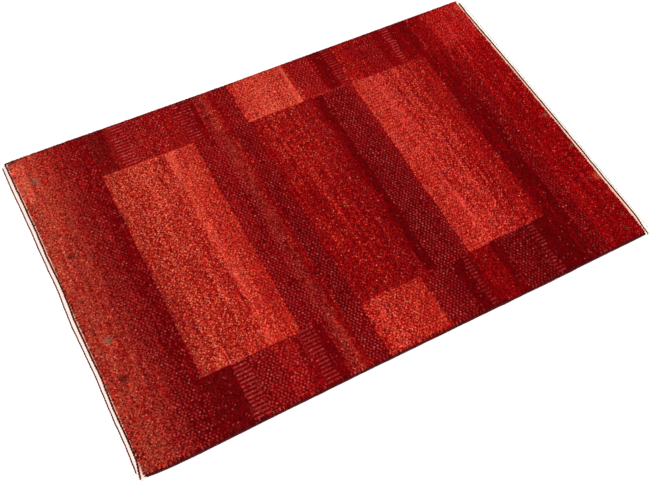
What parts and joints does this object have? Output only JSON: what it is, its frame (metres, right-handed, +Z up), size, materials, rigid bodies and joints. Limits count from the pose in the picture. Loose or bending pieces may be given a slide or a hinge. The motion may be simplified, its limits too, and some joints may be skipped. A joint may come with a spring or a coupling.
{
  "type": "gabbeh rug",
  "caption": "Small hand-knotted wool rug with a thick even pile, overcast side cords, and narrow plain-woven ends held by twined guard cords; it lies flat on a floor.",
  "frame": {"origin": "middle of the rug's bounding box, on the floor that it lies on", "axes": "+X along the rug's length, +Y across it to the far long side, +Z up out of the pile"},
  "size_m": [0.9438, 0.6186, 0.0098],
  "materials": {
    "pile_wool": "sheared hand-knotted wool pile in reds, maroon and brick orange, with soft colour bands and small dots",
    "side_wool": "dark maroon-brown wool, overcast round the side warps",
    "band_wool": "undyed cream wool in a plain weave, faintly pink",
    "dark_guard_yarn": "dark brown and black wool yarns, twined",
    "pale_guard_yarn": "pale undyed wool yarns, twined"
  },
  "bodies": {
    "root": {"pile": "pile_wool", "side_cord_near": "side_wool", "side_cord_far": "side_wool", "end_band_left": "band_wool", "end_band_right": "band_wool", "guard_cord_left_inner": "dark_guard_yarn", "guard_cord_left_outer": "dark_guard_yarn", "guard_cord_right_inner": "dark_guard_yarn", "guard_cord_right_outer": "pale_guard_yarn"}
  },
  "joints": []
}
